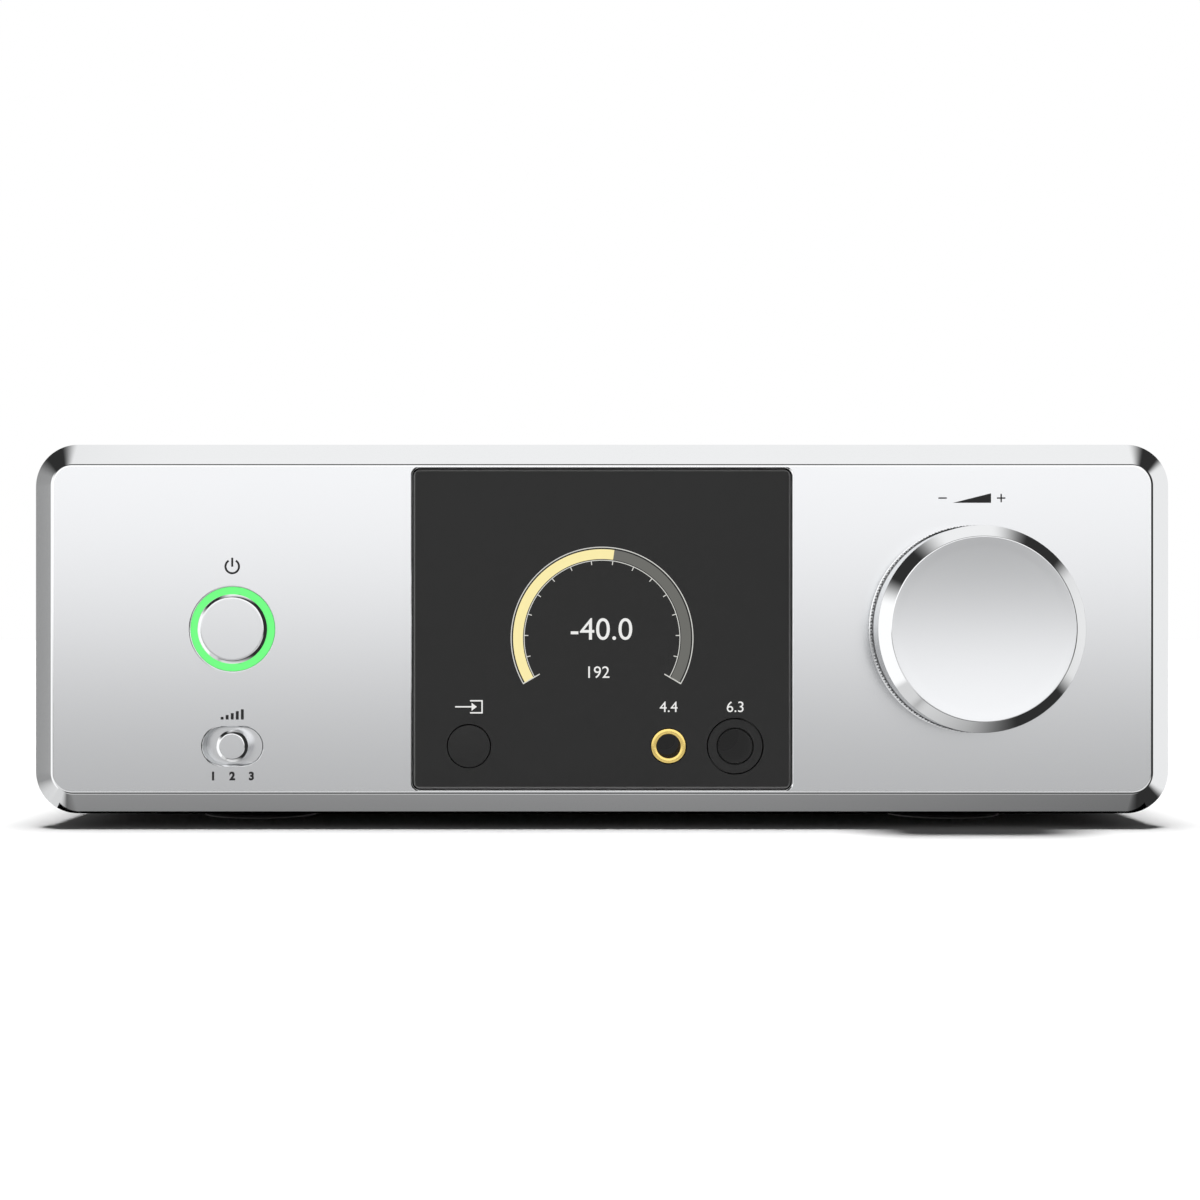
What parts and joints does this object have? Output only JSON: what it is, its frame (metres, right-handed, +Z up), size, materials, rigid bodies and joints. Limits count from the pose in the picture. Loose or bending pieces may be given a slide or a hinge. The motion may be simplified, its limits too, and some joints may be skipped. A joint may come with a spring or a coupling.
{
  "type": "headphone amplifier",
  "caption": "Low silver desktop headphone amplifier: bevelled front with power button, gain switch, black display window with two headphone jacks, and a large volume knob.",
  "frame": {"origin": "centre of the object's bounding box in X and Y, at the height of the surface it stands on", "axes": "+Z up, the front panel faces -Y, +X is to the right seen from the front"},
  "size_m": [0.215, 0.257, 0.0727],
  "materials": {
    "silver_anodised": "satin",
    "folded_aluminium": "satin",
    "plain_aluminium": "brushed",
    "window_black": "satin",
    "moulded_black": "matt",
    "moulded_grey": "matt",
    "moulded_white": "matt",
    "light_green": "glowing",
    "jack_gold": "polished gold plate",
    "steel_plated": "zinc plated",
    "screw_black": "black oxide",
    "board_green": "solder mask",
    "foot_rubber": "matt",
    "brass_standoff": "plain",
    "winding_tape": "yellow tape over copper and steel",
    "heatsink_black": "black anodised",
    "capacitor_sleeve": "shrink sleeve",
    "fuse_glass": "clear",
    "cable_grey": "matt",
    "lead_red": "matt",
    "chrome_shell": "polished"
  },
  "bodies": {
    "case": {"front_panel": "silver_anodised", "display_window": "window_black", "lcd_module": "moulded_black", "front_boards": "board_green", "front_subframe": "plain_aluminium", "front_screws": "steel_plated", "power_light_ring": "light_green", "button_switches": "moulded_black", "gain_switch": "steel_plated", "encoder_body": "moulded_grey", "encoder_nut": "steel_plated", "balanced_jack_ring": "jack_gold", "balanced_jack_body": "moulded_black", "stereo_jack_collar": "moulded_black", "stereo_jack_body": "moulded_black", "jack_board": "board_green", "base_tray": "folded_aluminium", "top_cover": "folded_aluminium", "side_rails": "plain_aluminium", "rear_panel": "folded_aluminium", "feet": "moulded_black", "foot_pads": "foot_rubber", "foot_screws": "screw_black", "case_screws": "screw_black", "panel_screws": "screw_black", "board_standoffs": "brass_standoff", "board_screws": "steel_plated", "transformer": "winding_tape", "transformer_pads": "foot_rubber", "transformer_mount": "steel_plated", "power_board": "board_green", "filter_capacitors": "capacitor_sleeve", "bridge_rectifier": "moulded_black", "mains_fuse": "fuse_glass", "main_board": "board_green", "audio_chips": "moulded_black", "amp_board": "board_green", "output_relays": "moulded_white", "heatsink": "heatsink_black", "power_transistors": "moulded_black", "ribbon_cables": "cable_grey", "power_leads": "lead_red", "mains_inlet": "moulded_black", "connector_pins": "steel_plated", "xlr_sockets": "chrome_shell", "rca_shells": "jack_gold", "rca_inserts": "moulded_white", "rca_housings": "moulded_black", "usb_socket": "chrome_shell", "optical_socket": "moulded_black"},
    "knob": {"volume_knob": "silver_anodised", "knob_set_screw": "screw_black", "encoder_shaft": "steel_plated"},
    "power": {"power_button": "silver_anodised", "power_plunger": "moulded_black"},
    "source": {"source_button": "moulded_black", "source_plunger": "moulded_black"},
    "gain": {"gain_slider": "silver_anodised", "gain_actuator": "moulded_white"},
    "shutter": {"optical_shutter": "moulded_black"}
  },
  "joints": [
    {"name": "volume_turn", "type": "hinge", "parent": "case", "child": "knob", "pos_m": [0.06945, -0.1165, 0.0377], "axis": [0, 1, 0], "continuous": true},
    {"name": "power_press", "type": "slide", "parent": "case", "child": "power", "axis": [0, 1, 0], "range_m": [0, 0.001], "stiffness_N_per_m": 500, "springref_m": -0.001},
    {"name": "source_press", "type": "slide", "parent": "case", "child": "source", "axis": [0, 1, 0], "range_m": [0, 0.0008], "stiffness_N_per_m": 400, "springref_m": -0.001},
    {"name": "gain_slide", "type": "slide", "parent": "case", "child": "gain", "axis": [1, 0, 0], "range_m": [-0.0024, 0.0024]},
    {"name": "shutter_swing", "type": "hinge", "parent": "case", "child": "shutter", "pos_m": [-0.005, 0.1187, 0.02255], "axis": [-1, 0, 0], "range_deg": [0, 85], "stiffness_Nm_per_rad": 0.0004, "springref_deg": -17.19}
  ]
}
